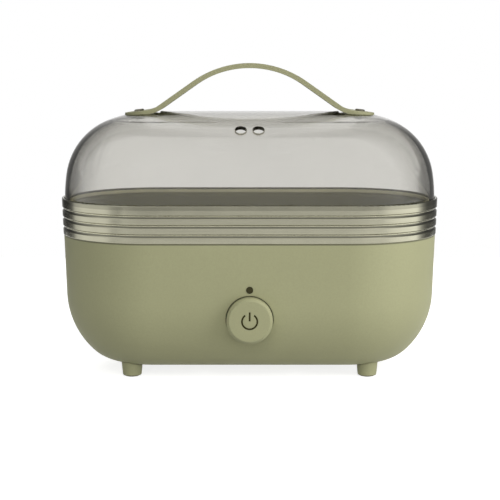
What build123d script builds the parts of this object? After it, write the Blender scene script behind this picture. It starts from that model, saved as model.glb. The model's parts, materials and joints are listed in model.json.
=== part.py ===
from build123d import *
import os
from math import asin, atan2, cos, degrees, radians, sin, sqrt, tan

os.makedirs("parts", exist_ok=True)

# An egg cooker: a rounded casing with a ribbed metal band, a water pan and heater inside,
# a lift-out egg tray and a clear dome lid with a strap handle.
# Millimetres. The floor is z = 0, the front with the button faces -Y, the long way is X.

# Plan of every shell and ring: two round ends joined by straight sides.
straight_length = 117.0
half_straight = straight_length / 2

# Clearances.
slide_gap = 0.4
seat_gap = 0.3
fit_gap = 0.15

# Casing. Radii are those of the round ends.
shell_radius = 56.6
shell_wall = 2.6
shell_draft = 1.64
base_bottom = 7.0
band_bottom = 85.8
corner_upper_radius = 50.8
corner_lower_radius = 23.7
corner_split = 45.0

# Ribbed band round the top of the casing.
band_height = 22.3
band_wall = 1.4
band_step = 0.35
groove_count = 3
groove_width = 2.6
groove_root = 1.0
groove_depth = 0.7
groove_low = 4.5
groove_high = 6.7

# Dome lid.
lid_sink = 3.3
lid_wall = 2.4
lid_skirt = 2.2
lid_side_radius = 102.5
lid_side_turn = 8.9
lid_shoulder_radius = 41.8
lid_shoulder_turn = 60.0
vent_diameter = 6.8
vent_spacing = 10.5
vent_angle = 56.0

# Strap handle and its rivets.
strap_width = 28.0
strap_thickness = 3.0
strap_slope = 35.0
strap_crown_radius = 60.0
strap_foot_radius = 18.0
strap_bend = 8.6
strap_tab_thickness = 2.3
strap_tab_end = 9.0
strap_seat_depth = 1.7
rivet_inset = 9.3
rivet_diameter = 3.0
rivet_head = 6.0
rivet_head_height = 1.15
rivet_tail = 5.2
rivet_tail_height = 0.7
rivet_boss_diameter = 11.0
rivet_boss_depth = 1.7
rivet_washer_diameter = 8.0
rivet_washer_thickness = 0.5

# Egg tray.
tray_flange = 1.5
tray_wall = 1.6
tray_ring_height = 2.7
tray_ring_wall = 1.9
tray_depth = 9.5
tray_floor = 1.8
seat_pitch = 47.5
seat_columns = 4
seat_rows = 2
seat_top_diameter = 35.0
seat_bottom_diameter = 27.0
seat_depth = 7.0
seat_wall = 1.6
steam_hole_diameter = 5.0

# Water pan, gasket and heater.
pan_sheet = 1.0
pan_gap = 0.6
pan_depth = 31.7
pan_corner = 9.0
pan_draft = 3.0
gasket_thickness = 1.5
heater_plate_radius = 26.0
heater_plate_thickness = 5.0
element_diameter = 6.6
element_spread = 32.0
element_bend_inset = 13.5
element_bend_x = half_straight - element_bend_inset
terminal_diameter = 4.0
terminal_length = 7.0
terminal_tab_width = 6.3
terminal_tab_thickness = 0.8
terminal_tab_length = 6.0
stud_diameter = 4.0
stud_inset = 28.5
stud_x = half_straight - stud_inset
stud_y = 8.0
nut_width = 7.0
nut_height = 3.2

# Heat shield on four posts of the casing.
shield_drop = 12.0
shield_sheet = 1.0
shield_radius = 27.0
shield_rim = 3.0
shield_window_length = 40.0
shield_window_width = 32.0
shield_board_gap = 2.0
post_inset = 13.5
post_x = half_straight - post_inset
post_y = 20.5
post_diameter = 8.0
tapping_diameter = 3.0
tapping_head = 6.0
tapping_head_height = 2.0
tapping_bite = 8.0

# Heat control under the heater plate.
thermostat_diameter = 16.0
thermostat_height = 7.0
thermostat_flange_length = 30.0
thermostat_flange_width = 9.0
thermostat_flange_sheet = 1.2
thermostat_screw_spacing = 23.0
fuse_diameter = 4.0
fuse_length = 12.0
fuse_inset = 12.5
fuse_x = half_straight - fuse_inset
fuse_lead_diameter = 1.0
fuse_lead_length = 5.0
clip_sheet = 0.8
clip_width = 5.0

# Push button and the switch behind it.
button_z = 41.05
button_diameter = 27.1
button_reach = 5.4
button_bevel = 1.5
button_face = 2.4
button_wall = 1.6
button_depth = 16.0
button_travel = 2.0
sleeve_wall = 1.6
symbol_radius = 5.0
symbol_stroke = 1.05
symbol_gap = 70.0
symbol_bar = 5.3
symbol_depth = 0.5
plunger_diameter = 5.0
plunger_socket = 4.0
plunger_boss_wall = 1.5
plunger_bite = 4.0
switch_width = 13.0
switch_depth = 9.0
switch_distance = 4.0
spring_wire = 0.7
spring_turns = 5

# Board that carries the switch and the lamp.
board_width = 44.0
board_bottom = 18.0
board_top = 64.0
board_thickness = 1.6
board_post_x = 18.0
board_post_inset = 4.0
board_post_diameter = 6.0
lens_z = 58.5
lens_diameter = 3.9
lens_proud = 0.3
lens_length = 5.0
led_diameter = 3.0
led_length = 5.0
led_leg = 0.6
led_leg_spacing = 1.6

# Socket at the back for a detachable lead.
inlet_z = 38.0
inlet_width = 27.0
inlet_height = 17.0
inlet_corner = 4.0
inlet_reach = 5.4
inlet_depth = 18.0
inlet_flange = 3.0
inlet_flange_thickness = 2.0
socket_width = 16.4
socket_height = 8.4
socket_depth = 12.0
pin_diameter = 2.4
pin_spacing = 8.5
pin_length = 9.0
pin_tail = 6.0
inlet_screw_spacing = 35.0

# Wiring.
wire_diameter = 2.2
wire_bend = 6.0

# Bottom cover, feet and their screws.
cover_radius = 20.0
cover_thickness = 1.4
cover_opening_radius = 15.5
cover_screw_inset = 30.5
cover_screw_x = half_straight - cover_screw_inset
cover_screw_radius = 18.2
cover_boss_diameter = 6.4
cover_boss_height = 8.0
cover_screw_diameter = 2.6
cover_screw_head = 5.0
cover_screw_head_height = 1.0
foot_reach = 13.6
foot_x = half_straight + foot_reach
foot_y = 24.0
foot_top_diameter = 13.2
foot_bottom_diameter = 11.4
foot_lift = 0.5
foot_pocket = 2.4
foot_boss_wall = 1.8
foot_boss_height = 9.0
pad_diameter = 8.6
pad_thickness = 1.7
foot_screw_diameter = 3.0
foot_screw_head = 5.6
foot_screw_head_height = 2.2

# Heights that follow from the sizes above.
rim_top = band_bottom + band_height
lid_bottom = rim_top - lid_sink
tray_seat = lid_bottom - seat_gap - tray_flange
pan_top = tray_seat - seat_gap
gasket_top = pan_top - pan_sheet
neck_top = gasket_top - gasket_thickness
pan_bottom = pan_top - pan_depth
plate_bottom = pan_bottom - heater_plate_thickness
shield_top = plate_bottom - shield_drop
shield_bottom = shield_top - shield_sheet

# Casing outline, worked out once and used by everything that fits it.
draft = radians(shell_draft)
split = radians(corner_split)
corner_drop = corner_upper_radius * (sin(split) - sin(draft)) + corner_lower_radius * (1 - sin(split))
wall_end = base_bottom + corner_drop
wall_end_radius = shell_radius - (band_bottom - wall_end) * tan(draft)
upper_centre_radius = wall_end_radius - corner_upper_radius * cos(draft)
upper_centre_z = wall_end + corner_upper_radius * sin(draft)
lower_centre_radius = upper_centre_radius + (corner_upper_radius - corner_lower_radius) * cos(split)
lower_centre_z = base_bottom + corner_lower_radius
split_z = lower_centre_z - corner_lower_radius * sin(split)


def shell_face(z, inset=0.0):
    """Radius of the casing's outer face at a height, or of a face that lies inside it."""
    if z >= wall_end:
        return shell_radius - (band_bottom - z) * tan(draft) - inset / cos(draft)
    if z >= split_z:
        return upper_centre_radius + sqrt((corner_upper_radius - inset) ** 2 - (upper_centre_z - z) ** 2)
    return lower_centre_radius + sqrt((corner_lower_radius - inset) ** 2 - (lower_centre_z - z) ** 2)


def band_face(z):
    """Outer radius of the band at a height."""
    return shell_radius + band_step + (z - band_bottom) * tan(draft)


def band_inside(z):
    """Inner radius of the band at a height."""
    return band_face(z) - band_wall


def neck_face(z):
    """Outer radius of the casing's neck inside the band."""
    return band_inside(z) - fit_gap


lid_radius = band_inside(lid_bottom) - slide_gap
tray_radius = band_inside(tray_seat) - slide_gap
pan_flange_radius = band_inside(gasket_top) - fit_gap
neck_inside = neck_face(band_bottom) - shell_wall
pan_radius = neck_inside - pan_gap
tray_wall_radius = pan_radius - pan_sheet - slide_gap
ring_radius = lid_radius - lid_wall - slide_gap


def stadium(outline):
    """Solid with the stadium plan, from a closed outline of radius and height."""
    with BuildPart() as body:
        with BuildSketch(Plane.YZ.offset(-half_straight)):
            add(outline)
            mirror(about=Plane.YZ)
        extrude(amount=straight_length)
        with BuildSketch(Plane.YZ.offset(half_straight)):
            add(outline)
        revolve(axis=Axis((half_straight, 0, 0), (0, 0, -1)), revolution_arc=180)
        with BuildSketch(Plane.YZ.offset(-half_straight)):
            add(outline)
        revolve(axis=Axis((-half_straight, 0, 0), (0, 0, 1)), revolution_arc=180)
    return body.part


def ring_outline(points):
    """Closed outline of radius and height from its corners."""
    with BuildSketch() as outline:
        with BuildLine():
            Polyline(*points, close=True)
        make_face()
    return outline.sketch


def shell_outline(inset, top):
    """Outline of the solid inside the casing's skin, up to a height under the shoulder."""
    start = (shell_face(top, inset), top)
    arc_start = (wall_end_radius - inset * cos(draft), wall_end + inset * sin(draft))
    with BuildSketch() as outline:
        with BuildLine():
            wall = Line(start, arc_start)
            upper = JernArc(wall @ 1, wall % 1, corner_upper_radius - inset, shell_draft - corner_split)
            lower = JernArc(upper @ 1, upper % 1, corner_lower_radius - inset, corner_split - 90)
            Polyline(lower @ 1, (0, base_bottom + inset), (0, top), start)
        make_face()
    return outline.sketch


casing_solid = stadium(shell_outline(0, band_bottom))
casing_hollow = stadium(shell_outline(shell_wall, band_bottom - shell_wall))
neck_ring = stadium(
    ring_outline(
        [
            (neck_face(band_bottom) - shell_wall, band_bottom - shell_wall / 2),
            (neck_face(band_bottom), band_bottom - shell_wall / 2),
            (neck_face(band_bottom), band_bottom),
            (neck_face(neck_top), neck_top),
            (neck_face(neck_top) - shell_wall, neck_top),
        ]
    )
)

# Planes across the front: local x runs along X and local y runs up.
face_y = -(shell_radius + button_reach)
skirt_end = face_y + button_depth
sleeve_end = skirt_end + button_travel
switch_front = sleeve_end + switch_distance
board_front = switch_front + switch_depth
board_back = board_front + board_thickness
board_clear = board_back + tapping_head_height + fit_gap
inlet_face = shell_radius + inlet_reach
inlet_end = inlet_face - inlet_depth


def front_plane(y):
    """Upright plane that faces the front."""
    return Plane(origin=(0, y, 0), x_dir=(1, 0, 0), z_dir=(0, -1, 0))


sleeve_radius = button_diameter / 2 + slide_gap
board_posts = [
    (side * board_post_x, height)
    for side in (-1, 1)
    for height in (board_bottom + board_post_inset, board_top - board_post_inset)
]
inlet_screw_spots = [(-inlet_screw_spacing / 2, inlet_z), (inlet_screw_spacing / 2, inlet_z)]
inlet_boss_end = inlet_end + inlet_flange_thickness
foot_spots = [(-foot_x, -foot_y), (foot_x, -foot_y), (-foot_x, foot_y), (foot_x, foot_y)]
cover_spots = [
    (cover_screw_x, cover_screw_radius),
    (-cover_screw_x, cover_screw_radius),
    (cover_screw_x, -cover_screw_radius),
    (-cover_screw_x, -cover_screw_radius),
    (half_straight + cover_screw_radius, 0),
    (-half_straight - cover_screw_radius, 0),
]
post_spots = [(post_x, post_y), (-post_x, post_y), (post_x, -post_y), (-post_x, -post_y)]
stud_spots = [(stud_x, stud_y), (-stud_x, stud_y), (stud_x, -stud_y), (-stud_x, -stud_y)]
foot_seat_z = base_bottom + foot_pocket
foot_pocket_radius = foot_top_diameter / 2 + fit_gap
foot_boss_radius = foot_pocket_radius + foot_boss_wall
board_screw_length = board_thickness + tapping_bite

# Posts, bosses and sleeves that stand on the inside of the casing.
with BuildPart() as casing_bosses:
    with BuildSketch(front_plane(sleeve_end)):
        with Locations((0, button_z)):
            Circle(sleeve_radius + sleeve_wall)
    extrude(amount=button_depth)
    with BuildSketch(front_plane(board_front)):
        with Locations(*board_posts):
            Circle(board_post_diameter / 2)
    extrude(amount=shell_radius)
    with BuildSketch(front_plane(inlet_boss_end)):
        with Locations(*inlet_screw_spots):
            Circle(board_post_diameter / 2)
    extrude(amount=-shell_radius)
    with BuildSketch(Plane.XY.offset(base_bottom)):
        with Locations(*foot_spots):
            Circle(foot_boss_radius)
    extrude(amount=foot_pocket + foot_boss_height)
    with BuildSketch(Plane.XY.offset(base_bottom)):
        with Locations(*cover_spots):
            Circle(cover_boss_diameter / 2)
    extrude(amount=cover_boss_height)
    with BuildSketch(Plane.XY.offset(base_bottom)):
        with Locations(*post_spots):
            Circle(post_diameter / 2)
    extrude(amount=shield_bottom - base_bottom)
    add(casing_solid, mode=Mode.INTERSECT)

with BuildPart() as base_shell:
    add(casing_solid)
    add(casing_hollow, mode=Mode.SUBTRACT)
    with BuildSketch(Plane.XY.offset(band_bottom)):
        SlotCenterToCenter(straight_length, 2 * neck_inside)
    extrude(amount=-2 * shell_wall, mode=Mode.SUBTRACT)
    add(neck_ring)
    add(casing_bosses.part)
    # Round hole for the button.
    with BuildSketch(front_plane(sleeve_end)):
        with Locations((0, button_z)):
            Circle(sleeve_radius)
    extrude(amount=2 * button_depth, mode=Mode.SUBTRACT)
    # Small hole for the indicator.
    with BuildSketch(front_plane(-shell_face(lens_z) + shell_wall * 2)):
        with Locations((0, lens_z)):
            Circle(lens_diameter / 2 + fit_gap)
    extrude(amount=shell_wall * 4, mode=Mode.SUBTRACT)
    # Opening for the rear socket.
    with BuildSketch(front_plane(inlet_end)):
        with Locations((0, inlet_z)):
            RectangleRounded(inlet_width + 2 * fit_gap, inlet_height + 2 * fit_gap, inlet_corner + fit_gap)
    extrude(amount=-2 * inlet_depth, mode=Mode.SUBTRACT)
    # Opening and rebate for the bottom cover.
    with BuildSketch(Plane.XY.offset(base_bottom)):
        SlotCenterToCenter(straight_length, 2 * (cover_radius + fit_gap))
    extrude(amount=cover_thickness, mode=Mode.SUBTRACT)
    with BuildSketch(Plane.XY.offset(base_bottom)):
        SlotCenterToCenter(straight_length, 2 * cover_opening_radius)
        with Locations(*cover_spots):
            Circle(cover_boss_diameter / 2, mode=Mode.SUBTRACT)
        with Locations(*post_spots):
            Circle(post_diameter / 2, mode=Mode.SUBTRACT)
    extrude(amount=shell_wall, mode=Mode.SUBTRACT)
    # Pockets for the feet, and the screw holes.
    with BuildSketch(Plane.XY.offset(foot_seat_z)):
        with Locations(*foot_spots):
            Circle(foot_pocket_radius)
    extrude(amount=-2 * foot_pocket, mode=Mode.SUBTRACT)
    with BuildSketch(Plane.XY.offset(foot_seat_z)):
        with Locations(*foot_spots):
            Circle(foot_screw_diameter / 2 + fit_gap)
    extrude(amount=foot_boss_height - shell_wall / 2, mode=Mode.SUBTRACT)
    with BuildSketch(Plane.XY.offset(base_bottom)):
        with Locations(*cover_spots):
            Circle(cover_screw_diameter / 2 + fit_gap)
    extrude(amount=cover_boss_height - shell_wall / 2, mode=Mode.SUBTRACT)
    with BuildSketch(Plane.XY.offset(shield_bottom)):
        with Locations(*post_spots):
            Circle(tapping_diameter / 2 + fit_gap)
    extrude(amount=-tapping_bite - 1, mode=Mode.SUBTRACT)
    with BuildSketch(front_plane(board_front)):
        with Locations(*board_posts):
            Circle(tapping_diameter / 2 + fit_gap)
    extrude(amount=tapping_bite + 1, mode=Mode.SUBTRACT)
    with BuildSketch(front_plane(inlet_boss_end)):
        with Locations(*inlet_screw_spots):
            Circle(tapping_diameter / 2 + fit_gap)
    extrude(amount=-(tapping_bite - inlet_flange_thickness), mode=Mode.SUBTRACT)
base_shell.part.label = "base_shell"
export_step(base_shell.part, "parts/base_shell.step")

# Ribbed band: a plain inner face and ribs with sloped grooves between them.
groove_pitch = (band_height - groove_low - groove_high) / (groove_count - 1)
band_points = [(band_inside(band_bottom), band_bottom), (band_face(band_bottom), band_bottom)]
for index in range(groove_count):
    centre = band_bottom + groove_low + index * groove_pitch
    low = centre - groove_width / 2
    high = centre + groove_width / 2
    root_low = centre - groove_root / 2
    root_high = centre + groove_root / 2
    band_points.append((band_face(low), low))
    band_points.append((band_face(root_low) - groove_depth, root_low))
    band_points.append((band_face(root_high) - groove_depth, root_high))
    band_points.append((band_face(high), high))
band_points.append((band_face(rim_top), rim_top))
band_points.append((band_inside(rim_top), rim_top))
with BuildSketch() as band_section:
    with BuildLine():
        Polyline(*band_points, close=True)
    make_face()
    fillet(band_section.vertices().group_by(Axis.Y)[-1], band_wall * 0.45)
    fillet(band_section.vertices().group_by(Axis.Y)[0].sort_by(Axis.X)[-1:], band_wall * 0.3)
band_solid = stadium(band_section.sketch)
with BuildPart() as trim_band:
    add(band_solid)
trim_band.part.label = "trim_band"
export_step(trim_band.part, "parts/trim_band.step")

# Flat cover under the casing.
with BuildPart() as bottom_cover:
    with BuildSketch(Plane.XY.offset(base_bottom)):
        SlotCenterToCenter(straight_length, 2 * cover_radius)
        with Locations(*cover_spots):
            Circle(cover_screw_diameter / 2 + fit_gap, mode=Mode.SUBTRACT)
    extrude(amount=cover_thickness)
bottom_cover.part.label = "bottom_cover"
export_step(bottom_cover.part, "parts/bottom_cover.step")

with BuildPart() as bottom_cover_screws:
    with BuildSketch(Plane.XY.offset(base_bottom)):
        with Locations(*cover_spots):
            Circle(cover_screw_head / 2)
    extrude(amount=-cover_screw_head_height)
    with BuildSketch(Plane.XY.offset(base_bottom)):
        with Locations(*cover_spots):
            Circle(cover_screw_diameter / 2)
    extrude(amount=cover_boss_height - shell_wall)
bottom_cover_screws.part.label = "bottom_cover_screws"
export_step(bottom_cover_screws.part, "parts/bottom_cover_screws.step")

# Four tapered feet, each plugged into a pocket of the casing, with a soft pad underneath.
pad_top = pad_thickness
foot_taper = degrees(atan2((foot_top_diameter - foot_bottom_diameter) / 2, foot_seat_z - foot_lift))
foot_names = ["front_left", "front_right", "rear_left", "rear_right"]
for spot, place in zip(foot_spots, foot_names):
    with BuildPart() as foot:
        with BuildSketch(Plane.XY.offset(foot_seat_z)):
            with Locations(spot):
                Circle(foot_top_diameter / 2)
        extrude(amount=-(foot_seat_z - foot_lift), taper=foot_taper)
        fillet(foot.edges().group_by(Axis.Z)[0], 0.6)
        with BuildSketch(Plane.XY.offset(foot_lift)):
            with Locations(spot):
                Circle(pad_diameter / 2 + fit_gap)
        extrude(amount=pad_top - foot_lift, mode=Mode.SUBTRACT)
        with BuildSketch(Plane.XY.offset(pad_top)):
            with Locations(spot):
                Circle(foot_screw_head / 2 + fit_gap)
        extrude(amount=foot_screw_head_height, mode=Mode.SUBTRACT)
        with BuildSketch(Plane.XY.offset(pad_top)):
            with Locations(spot):
                Circle(foot_screw_diameter / 2 + fit_gap)
        extrude(amount=foot_seat_z, mode=Mode.SUBTRACT)
    foot.part.label = f"foot_{place}"
    export_step(foot.part, f"parts/foot_{place}.step")
    with BuildPart() as foot_pad:
        with BuildSketch():
            with Locations(spot):
                Circle(pad_diameter / 2)
        extrude(amount=pad_top)
    foot_pad.part.label = f"foot_pad_{place}"
    export_step(foot_pad.part, f"parts/foot_pad_{place}.step")

with BuildPart() as foot_screws:
    with BuildSketch(Plane.XY.offset(pad_top)):
        with Locations(*foot_spots):
            Circle(foot_screw_head / 2)
    extrude(amount=foot_screw_head_height)
    with BuildSketch(Plane.XY.offset(pad_top + foot_screw_head_height)):
        with Locations(*foot_spots):
            Circle(foot_screw_diameter / 2)
    extrude(amount=foot_seat_z + foot_boss_height - shell_wall - pad_top - foot_screw_head_height)
foot_screws.part.label = "foot_screws"
export_step(foot_screws.part, "parts/foot_screws.step")

# Water pan: a drafted dish of sheet metal with a flat flange.
pan_slope = tan(radians(pan_draft))
pan_foot_radius = pan_radius - (gasket_top - pan_bottom) * pan_slope
with BuildSketch() as pan_section:
    with BuildLine():
        Polyline(
            (0, pan_bottom),
            (pan_foot_radius, pan_bottom),
            (pan_radius, gasket_top),
            (pan_flange_radius, gasket_top),
            (pan_flange_radius, pan_top),
            (pan_radius - pan_sheet, pan_top),
            (pan_foot_radius - pan_sheet, pan_bottom + pan_sheet),
            (0, pan_bottom + pan_sheet),
            close=True,
        )
    make_face()
    outer_corner = pan_section.vertices().sort_by_distance(Vector(pan_foot_radius, pan_bottom))[0]
    fillet(outer_corner, pan_corner)
    inner_spot = Vector(pan_foot_radius - pan_sheet, pan_bottom + pan_sheet)
    fillet(pan_section.vertices().sort_by_distance(inner_spot)[0], pan_corner - pan_sheet)
pan_solid = stadium(pan_section.sketch)
with BuildPart() as heating_pan:
    add(pan_solid)
heating_pan.part.label = "heating_pan"
export_step(heating_pan.part, "parts/heating_pan.step")

gasket_solid = stadium(
    ring_outline(
        [
            (pan_radius + fit_gap, neck_top),
            (neck_face(neck_top), neck_top),
            (neck_face(neck_top), gasket_top),
            (pan_radius + fit_gap, gasket_top),
        ]
    )
)
with BuildPart() as pan_gasket:
    add(gasket_solid)
pan_gasket.part.label = "pan_gasket"
export_step(pan_gasket.part, "parts/pan_gasket.step")

# Heater: a sheathed tube, bent into a hairpin, half sunk in a cast plate under the pan.
element_reach = half_straight
run_y = element_spread / 2


def hairpin(diameter, start_x):
    """Round bar bent into a hairpin along the underside of the heater plate."""
    with BuildPart() as bar:
        with BuildLine(Plane.XY.offset(plate_bottom)) as path:
            first = Line((start_x, -run_y), (-element_bend_x, -run_y))
            bend = JernArc(first @ 1, first % 1, run_y, -180)
            Line(bend @ 1, (start_x, run_y))
        with BuildSketch(Plane(origin=(start_x, -run_y, plate_bottom), z_dir=(-1, 0, 0))):
            Circle(diameter / 2)
        sweep()
    return bar.part


element_groove = hairpin(element_diameter + 2 * fit_gap, element_reach + fit_gap)
element_tube = hairpin(element_diameter, element_reach)
with BuildPart() as heater_plate:
    with BuildSketch(Plane.XY.offset(plate_bottom)):
        SlotCenterToCenter(straight_length, 2 * heater_plate_radius)
    extrude(amount=heater_plate_thickness)
    add(element_groove, mode=Mode.SUBTRACT)
    with BuildSketch(Plane.XY.offset(plate_bottom)):
        with Locations((-thermostat_screw_spacing / 2, 0), (thermostat_screw_spacing / 2, 0)):
            Circle(tapping_diameter / 2 + fit_gap)
    extrude(amount=heater_plate_thickness / 2, mode=Mode.SUBTRACT)
heater_plate.part.label = "heater_plate"
export_step(heater_plate.part, "parts/heater_plate.step")

with BuildPart() as heating_element:
    add(element_tube)
heating_element.part.label = "heating_element"
export_step(heating_element.part, "parts/heating_element.step")

# Cold ends of the element: a pin below each end of the tube, with a flat tab.
terminal_top = plate_bottom - element_diameter / 2
terminal_x = element_reach - terminal_diameter / 2
terminal_spots = [(terminal_x, -run_y), (terminal_x, run_y)]
tab_top = terminal_top - terminal_length
with BuildPart() as element_terminals:
    with BuildSketch(Plane.XY.offset(terminal_top)):
        with Locations(*terminal_spots):
            Circle(terminal_diameter / 2)
    extrude(amount=-terminal_length)
    with BuildSketch(Plane.XY.offset(tab_top)):
        with Locations(*terminal_spots):
            Rectangle(terminal_tab_thickness, terminal_tab_width)
    extrude(amount=-terminal_tab_length)
element_terminals.part.label = "element_terminals"
export_step(element_terminals.part, "parts/element_terminals.step")

stud_end = shield_bottom - nut_height - stud_diameter / 4
with BuildPart() as pan_studs:
    with BuildSketch(Plane.XY.offset(plate_bottom)):
        with Locations(*stud_spots):
            Circle(stud_diameter / 2)
    extrude(amount=-(plate_bottom - stud_end))
pan_studs.part.label = "pan_studs"
export_step(pan_studs.part, "parts/pan_studs.step")

with BuildPart() as pan_nuts:
    with BuildSketch(Plane.XY.offset(shield_bottom)):
        with Locations(*stud_spots):
            RegularPolygon(nut_width / 2, 6, major_radius=False)
            Circle(stud_diameter / 2 + fit_gap, mode=Mode.SUBTRACT)
    extrude(amount=-nut_height)
pan_nuts.part.label = "pan_nuts"
export_step(pan_nuts.part, "parts/pan_nuts.step")

# Heat shield: a flat sheet with a turned-up rim, holes for the studs and a window for the wires.
shield_solid = stadium(
    ring_outline(
        [
            (0, shield_bottom),
            (shield_radius, shield_bottom),
            (shield_radius, shield_top + shield_rim),
            (shield_radius - shield_sheet, shield_top + shield_rim),
            (shield_radius - shield_sheet, shield_top),
            (0, shield_top),
        ]
    )
)
tab_window = terminal_tab_width + 2 * wire_diameter
with BuildPart() as heat_shield:
    add(shield_solid)
    with BuildSketch(Plane.XY.offset(shield_bottom)):
        RectangleRounded(shield_window_length, shield_window_width, wire_diameter)
        with Locations(*stud_spots):
            Circle(stud_diameter / 2 + slide_gap)
        with Locations(*post_spots):
            Circle(tapping_diameter / 2 + slide_gap)
        with Locations(*terminal_spots):
            Circle(tab_window / 2)
    extrude(amount=shield_sheet, mode=Mode.SUBTRACT)
    # Front edge kept clear of the board and its screw heads.
    with BuildSketch(Plane.XY.offset(shield_bottom)):
        with Locations((0, board_clear - shield_radius)):
            Rectangle(board_width + 2 * shield_board_gap, 2 * shield_radius)
    extrude(amount=shield_sheet + shield_rim, mode=Mode.SUBTRACT)
heat_shield.part.label = "heat_shield"
export_step(heat_shield.part, "parts/heat_shield.step")

with BuildPart() as shield_screws:
    with BuildSketch(Plane.XY.offset(shield_top)):
        with Locations(*post_spots):
            Circle(tapping_head / 2)
    extrude(amount=tapping_head_height)
    with BuildSketch(Plane.XY.offset(shield_top)):
        with Locations(*post_spots):
            Circle(tapping_diameter / 2)
    extrude(amount=-(shield_sheet + tapping_bite))
shield_screws.part.label = "shield_screws"
export_step(shield_screws.part, "parts/shield_screws.step")

# Thermostat disc with its mounting strip, screwed to the plate.
thermostat_bottom = plate_bottom - thermostat_height
strip_bottom = plate_bottom - thermostat_flange_sheet
tab_reach = thermostat_diameter / 2 + terminal_tab_length
with BuildPart() as thermostat:
    with BuildSketch(Plane.XY.offset(plate_bottom)):
        Circle(thermostat_diameter / 2)
    extrude(amount=-thermostat_height)
    with BuildSketch(Plane.XY.offset(plate_bottom)):
        SlotOverall(thermostat_flange_length, thermostat_flange_width)
        with Locations((-thermostat_screw_spacing / 2, 0), (thermostat_screw_spacing / 2, 0)):
            Circle(tapping_diameter / 2 + fit_gap, mode=Mode.SUBTRACT)
    extrude(amount=-thermostat_flange_sheet)
    with Locations((0, 0, thermostat_bottom + terminal_tab_thickness)):
        Box(terminal_tab_width, 2 * tab_reach, terminal_tab_thickness)
thermostat.part.label = "thermostat"
export_step(thermostat.part, "parts/thermostat.step")

with BuildPart() as thermostat_screws:
    with BuildSketch(Plane.XY.offset(strip_bottom)):
        with Locations((-thermostat_screw_spacing / 2, 0), (thermostat_screw_spacing / 2, 0)):
            Circle(tapping_head / 2)
    extrude(amount=-tapping_head_height)
    with BuildSketch(Plane.XY.offset(strip_bottom)):
        with Locations((-thermostat_screw_spacing / 2, 0), (thermostat_screw_spacing / 2, 0)):
            Circle(tapping_diameter / 2)
    extrude(amount=thermostat_flange_sheet + heater_plate_thickness / 3)
thermostat_screws.part.label = "thermostat_screws"
export_step(thermostat_screws.part, "parts/thermostat_screws.step")

# Thermal fuse along Y under the plate, held by a bent clip.
fuse_z = plate_bottom - fuse_diameter / 2 - clip_sheet / 2
fuse_end = fuse_length / 2 + fuse_lead_length
with BuildPart() as thermal_fuse:
    with BuildSketch(Plane.XZ.offset(-fuse_length / 2)):
        with Locations((fuse_x, fuse_z)):
            Circle(fuse_diameter / 2)
    extrude(amount=fuse_length)
    with BuildSketch(Plane.XZ.offset(-fuse_end)):
        with Locations((fuse_x, fuse_z)):
            Circle(fuse_lead_diameter / 2)
    extrude(amount=2 * fuse_end)
thermal_fuse.part.label = "thermal_fuse"
export_step(thermal_fuse.part, "parts/thermal_fuse.step")

clip_inside = fuse_diameter / 2 + fit_gap
with BuildPart() as fuse_clip:
    with BuildSketch(Plane.XZ.offset(-clip_width / 2)):
        with Locations((fuse_x, fuse_z)):
            Circle(clip_inside + clip_sheet)
        with Locations((fuse_x, (fuse_z + plate_bottom) / 2)):
            Rectangle(2 * (clip_inside + clip_sheet), plate_bottom - fuse_z)
        with Locations((fuse_x, plate_bottom - clip_sheet / 2)):
            Rectangle(4 * clip_inside + 4 * clip_sheet, clip_sheet)
        with Locations((fuse_x, fuse_z)):
            Circle(clip_inside, mode=Mode.SUBTRACT)
        with Locations((fuse_x, fuse_z + fuse_diameter)):
            Rectangle(2 * clip_inside, 2 * fuse_diameter, mode=Mode.SUBTRACT)
    extrude(amount=clip_width)
fuse_clip.part.label = "fuse_clip"
export_step(fuse_clip.part, "parts/fuse_clip.step")

# Board with the switch and the lamp, on four posts behind the front wall.
with BuildPart() as control_board:
    with BuildSketch(front_plane(board_front)):
        with Locations((0, (board_bottom + board_top) / 2)):
            Rectangle(board_width, board_top - board_bottom)
        with Locations(*board_posts):
            Circle(tapping_diameter / 2 + fit_gap, mode=Mode.SUBTRACT)
    extrude(amount=-board_thickness)
control_board.part.label = "control_board"
export_step(control_board.part, "parts/control_board.step")

with BuildPart() as board_screws:
    with BuildSketch(front_plane(board_back)):
        with Locations(*board_posts):
            Circle(tapping_head / 2)
    extrude(amount=-tapping_head_height)
    with BuildSketch(front_plane(board_back)):
        with Locations(*board_posts):
            Circle(tapping_diameter / 2)
    extrude(amount=board_screw_length)
board_screws.part.label = "board_screws"
export_step(board_screws.part, "parts/board_screws.step")

bore_depth = plunger_bite + button_travel + slide_gap
with BuildPart() as power_switch:
    with BuildSketch(front_plane(board_front)):
        with Locations((0, button_z)):
            Rectangle(switch_width, switch_width)
    extrude(amount=switch_depth)
    fillet(power_switch.edges().filter_by(Axis.Y), 1.0)
    with BuildSketch(front_plane(switch_front)):
        with Locations((0, button_z)):
            Circle(plunger_diameter / 2 + slide_gap)
    extrude(amount=-bore_depth, mode=Mode.SUBTRACT)
power_switch.part.label = "power_switch"
export_step(power_switch.part, "parts/power_switch.step")

# Lamp on long legs behind a short lens in the wall.
lens_face = -shell_face(lens_z) - lens_proud
lens_back = lens_face + lens_length
led_front = lens_back + seat_gap
with BuildPart() as indicator_lens:
    with BuildSketch(front_plane(lens_face)):
        with Locations((0, lens_z)):
            Circle(lens_diameter / 2)
    extrude(amount=-lens_length)
    fillet(indicator_lens.edges().group_by(Axis.Y)[0], lens_proud)
indicator_lens.part.label = "indicator_lens"
export_step(indicator_lens.part, "parts/indicator_lens.step")

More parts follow.
